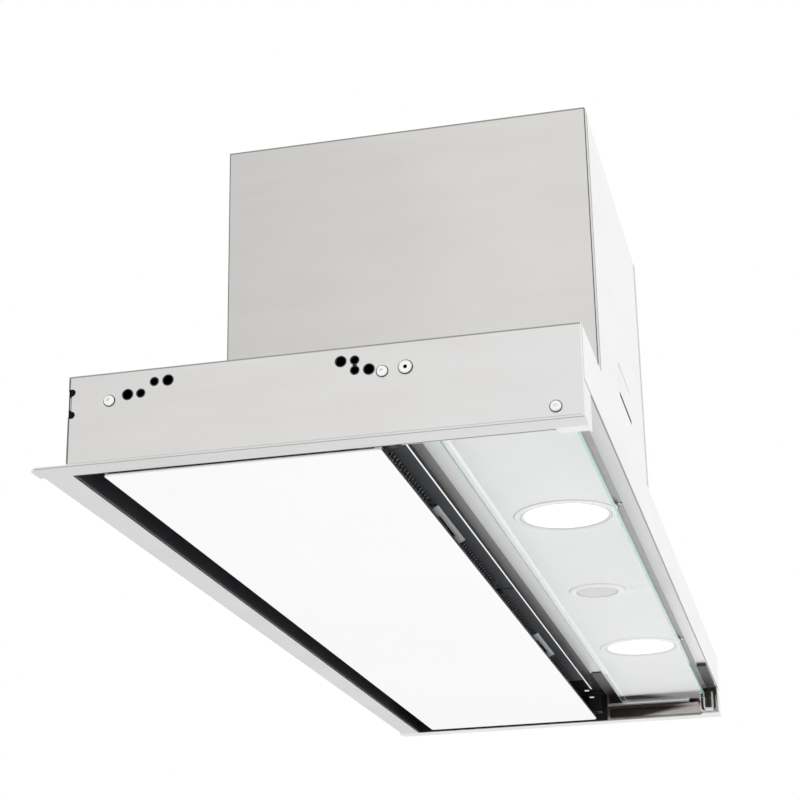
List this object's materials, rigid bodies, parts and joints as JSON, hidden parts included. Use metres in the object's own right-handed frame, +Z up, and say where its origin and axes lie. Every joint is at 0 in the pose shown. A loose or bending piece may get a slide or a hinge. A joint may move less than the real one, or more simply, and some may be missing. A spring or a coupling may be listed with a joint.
{
  "type": "built-in range hood",
  "caption": "Built-in canopy range hood with an off-centre motor box, a hanging glass panel over grease filters, a sliding glass visor, round lamps and a duct collar.",
  "frame": {"origin": "middle of the underside of the hood's bounding box, on the lower face of the trim strips", "axes": "+X along the hood from its left end to its right end, +Y from the front to the wall side, +Z up"},
  "size_m": [0.898, 0.32, 0.259],
  "materials": {
    "box_steel": "brushed sheet, fine grain",
    "body_steel": "brushed sheet, fine grain",
    "front_steel": "brushed sheet, fine grain along its length",
    "trim_steel": "brushed strip",
    "plain_steel": "plain sheet",
    "partition_steel": "plain sheet with a folded hem",
    "lamp_plate_paint": "satin silver grey",
    "guide_steel": "plain sheet",
    "runner_steel": "bent strip",
    "visor_glass": "clear, ground edges",
    "panel_white": "white backed glass, polished",
    "tray_black": "satin black",
    "carrier_black": "satin black",
    "filter_grey": "grey lacquered",
    "mesh_aluminium": "expanded mesh",
    "latch_grey": "light grey",
    "lamp_chrome": "satin chrome",
    "lens_frosted": "frosted, lit",
    "can_aluminium": "die cast, finned",
    "bezel_chrome": "satin chrome",
    "button_grey": "satin",
    "window_plastic": "translucent white",
    "dark_plastic": "fine texture",
    "scroll_plastic": "moulded",
    "impeller_plastic": "moulded",
    "motor_metal": "lacquered",
    "zinc_steel": "zinc plated",
    "screw_steel": "nickel plated",
    "capacitor_white": "moulded",
    "collar_plastic": "moulded",
    "pin_steel": "drawn rod",
    "control_plastic": "moulded, fine texture",
    "board_green": "solder resist",
    "terminal_plastic": "moulded",
    "gland_plastic": "moulded",
    "catch_plastic": "moulded"
  },
  "bodies": {
    "hood": {"motor_box_shell": "box_steel", "motor_box_top": "box_steel", "left_end_panel": "body_steel", "right_end_panel": "body_steel", "front_plate": "front_steel", "back_trim_strip": "trim_steel", "left_trim_strip": "trim_steel", "right_trim_strip": "trim_steel", "back_panel": "plain_steel", "top_plate": "plain_steel", "partition_wall": "partition_steel", "lamp_plate": "lamp_plate_paint", "left_guide_bracket": "guide_steel", "right_guide_bracket": "guide_steel", "filter_carrier": "carrier_black", "carrier_skirt": "carrier_black", "left_filter_frame": "filter_grey", "right_filter_frame": "filter_grey", "left_filter_mesh": "mesh_aluminium", "right_filter_mesh": "mesh_aluminium", "lamp_trims": "lamp_chrome", "lamp_lenses": "lens_frosted", "lamp_housings": "can_aluminium", "switch_bezel": "bezel_chrome", "receiver_window": "window_plastic", "visor_sensor": "dark_plastic", "corner_cover": "dark_plastic", "left_scroll_half": "scroll_plastic", "right_scroll_half": "scroll_plastic", "motor": "motor_metal", "motor_bracket": "zinc_steel", "hinge_brackets": "zinc_steel", "hinge_pins": "zinc_steel", "band_screws": "screw_steel", "end_screws": "screw_steel", "rivet_nuts": "screw_steel", "blower_screws": "screw_steel", "capacitor": "capacitor_white", "duct_collar": "collar_plastic", "flap_pin": "pin_steel", "control_box": "control_plastic", "control_box_lid": "control_plastic", "control_board": "board_green", "terminal_block": "terminal_plastic", "cable_gland": "gland_plastic", "magnet_catches": "catch_plastic"},
    "visor": {"visor_glass": "visor_glass", "left_visor_runner": "runner_steel", "right_visor_runner": "runner_steel"},
    "panel": {"panel_glass": "panel_white", "panel_tray": "tray_black", "hinge_leaves": "zinc_steel", "striker_plates": "zinc_steel"},
    "fan": {"impeller": "impeller_plastic", "motor_shaft": "motor_metal"},
    "front_damper": {"front_flap": "collar_plastic"},
    "back_damper": {"back_flap": "collar_plastic"},
    "button": {"switch_button": "button_grey"},
    "left_latch": {"left_filter_latch": "latch_grey"},
    "right_latch": {"right_filter_latch": "latch_grey"}
  },
  "joints": [
    {"name": "visor_slide", "type": "slide", "parent": "hood", "child": "visor", "axis": [0, -1, 0], "range_m": [0, 0.06]},
    {"name": "panel_hinge", "type": "hinge", "parent": "hood", "child": "panel", "pos_m": [0, 0.124, 0.0095], "axis": [1, 0, 0], "range_deg": [0, 90]},
    {"name": "fan_spin", "type": "hinge", "parent": "hood", "child": "fan", "pos_m": [-0.25, -0.01497, 0.14004], "axis": [1, 0, 0], "continuous": true},
    {"name": "front_damper_hinge", "type": "hinge", "parent": "hood", "child": "front_damper", "pos_m": [-0.25, -0.0655, 0.237], "axis": [-1, 0, 0], "range_deg": [0, 75]},
    {"name": "back_damper_hinge", "type": "hinge", "parent": "hood", "child": "back_damper", "pos_m": [-0.25, -0.0655, 0.237], "axis": [1, 0, 0], "range_deg": [0, 75]},
    {"name": "button_press", "type": "slide", "parent": "hood", "child": "button", "axis": [0, 0, 1], "range_m": [0, 0.0015], "stiffness_N_per_m": 500, "springref_m": -0.001},
    {"name": "left_latch_slide", "type": "slide", "parent": "hood", "child": "left_latch", "axis": [0, 1, 0], "range_m": [0, 0.005], "stiffness_N_per_m": 400, "springref_m": -0.003},
    {"name": "right_latch_slide", "type": "slide", "parent": "hood", "child": "right_latch", "axis": [0, 1, 0], "range_m": [0, 0.005], "stiffness_N_per_m": 400, "springref_m": -0.003}
  ]
}
